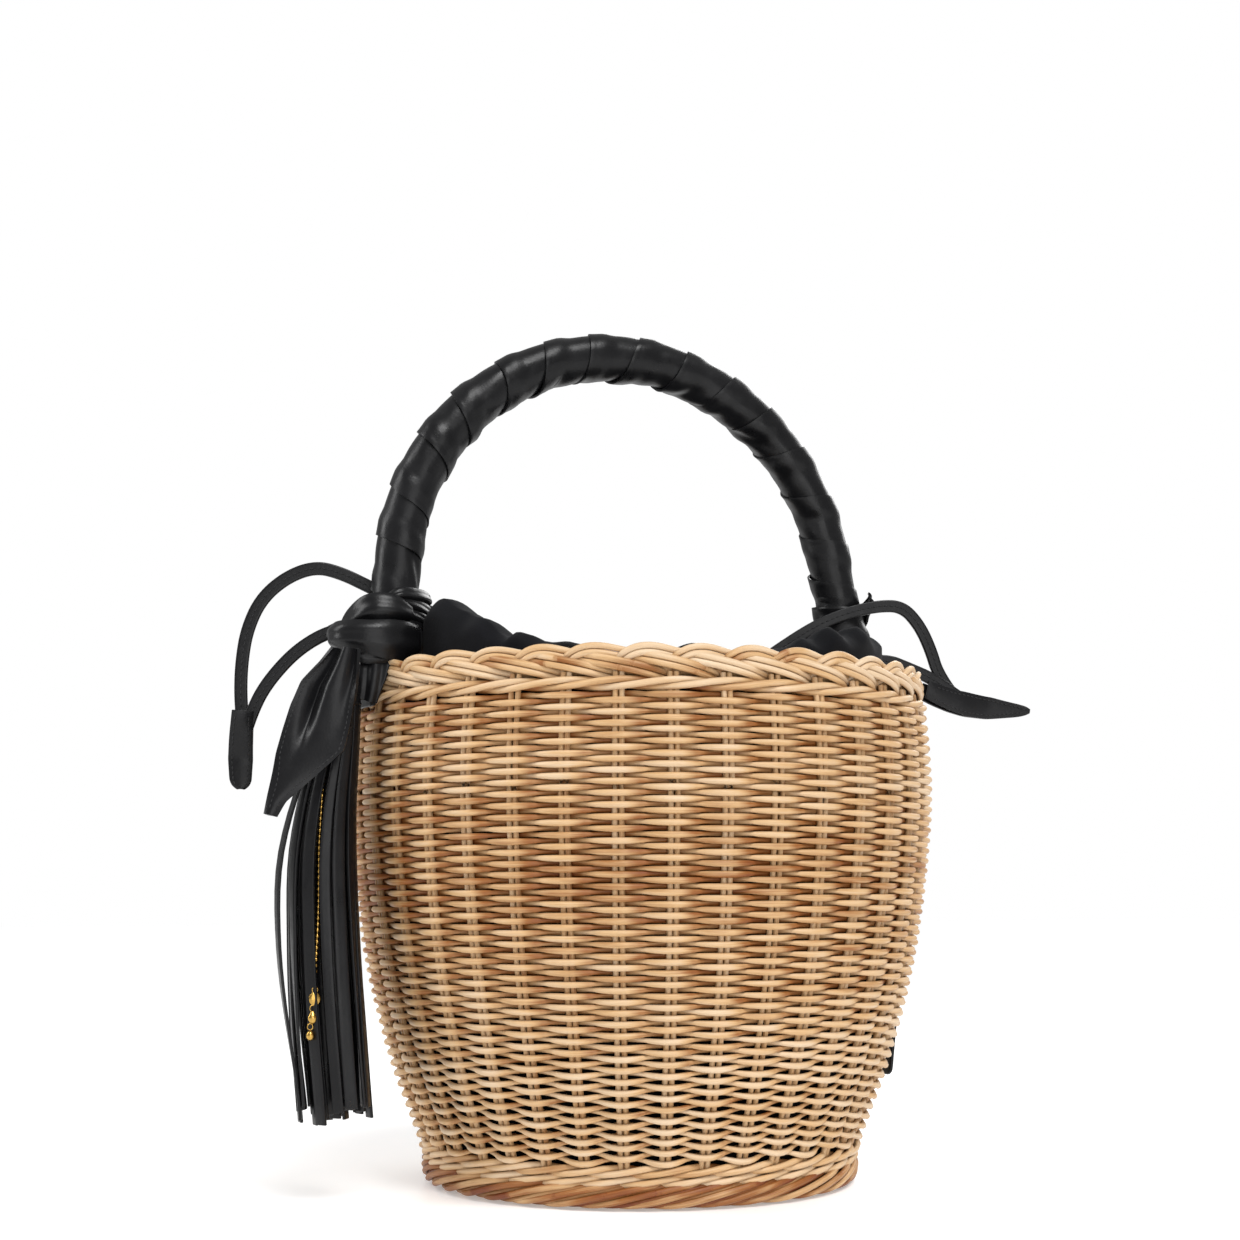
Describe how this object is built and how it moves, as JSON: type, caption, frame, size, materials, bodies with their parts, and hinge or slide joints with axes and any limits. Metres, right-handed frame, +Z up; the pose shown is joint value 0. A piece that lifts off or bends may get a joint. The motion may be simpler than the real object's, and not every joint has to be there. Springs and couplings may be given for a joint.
{
  "type": "bucket bag",
  "caption": "Round wicker bucket bag with an arched leather-wrapped handle, drawstring pouch lining, scarf knot, and fringe tassel.",
  "frame": {"origin": "centre of the basket's flat base, on the surface it stands on", "axes": "+Z up; the handle stands in the XZ plane with the scarf knot and tassel at its foot on the -X side; -Y is the side that the knot and scarf tail hang towards"},
  "size_m": [0.3339, 0.2392, 0.3463],
  "materials": {
    "cane": "round cane, satin, natural honey colour",
    "black_leather": "soft nappa, low sheen",
    "cord_leather": "stitched leather strap with painted edges, satin",
    "pouch_fabric": "matte black suede-like cloth",
    "gold": "polished gold plating"
  },
  "bodies": {
    "basket": {"base_disc": "cane", "base_sticks": "cane", "foot_border": "cane", "base_wale": "cane", "weave_outer": "cane", "weave_inner": "cane", "side_stakes": "cane", "top_wale": "cane", "rim_braid": "cane", "handle_core": "cane", "handle_wrap": "black_leather", "lashing_left": "black_leather", "lashing_right": "black_leather", "scarf_knot": "black_leather", "pouch_side": "pouch_fabric", "pouch_bottom": "pouch_fabric", "pouch_collar": "pouch_fabric", "drawcord_left_channel": "cord_leather", "drawcord_right_channel": "cord_leather", "label_patch": "black_leather"},
    "drawcord_left": {"drawcord_left_upper": "cord_leather", "drawcord_left_lower": "cord_leather", "tab_left_front": "cord_leather", "tab_left_back": "cord_leather"},
    "drawcord_right": {"drawcord_right_upper": "cord_leather", "drawcord_right_lower": "cord_leather", "tab_right_front": "cord_leather", "tab_right_back": "cord_leather"},
    "tassel_link": {"tassel_hanger": "black_leather"},
    "tassel": {"tassel_cap": "black_leather", "fringe_outer": "black_leather", "fringe_inner": "black_leather", "ball_chain": "gold", "charms": "gold"},
    "scarf_tail": {"scarf_tail": "black_leather"}
  },
  "joints": [
    {"name": "drawcord_left_pull", "type": "slide", "parent": "basket", "child": "drawcord_left", "axis": [-0.9659, 0.2588, 0], "range_m": [0, 0.045], "deforming": ["pouch_collar", "pouch_side", "drawcord_left_channel", "drawcord_right_channel"]},
    {"name": "drawcord_right_pull", "type": "slide", "parent": "basket", "child": "drawcord_right", "axis": [0.9659, -0.2588, 0], "range_m": [0, 0.045]},
    {"name": "tassel_swing_side", "type": "hinge", "parent": "basket", "child": "tassel_link", "pos_m": [-0.127, -0.015, 0.2105], "axis": [0, 1, 0], "range_deg": [0, 45]},
    {"name": "tassel_swing_fore", "type": "hinge", "parent": "tassel_link", "child": "tassel", "pos_m": [-0.127, -0.015, 0.2027], "axis": [1, 0, 0], "range_deg": [-20, 20]},
    {"name": "scarf_tail_lift", "type": "hinge", "parent": "tassel", "child": "scarf_tail", "pos_m": [-0.13034, -0.02452, 0.205], "axis": [-0.9205, 0.3907, 0], "range_deg": [0, 50]}
  ],
  "couplings": [
    {"joint": "drawcord_right_pull", "follows": "drawcord_left_pull", "ratio": 1}
  ]
}
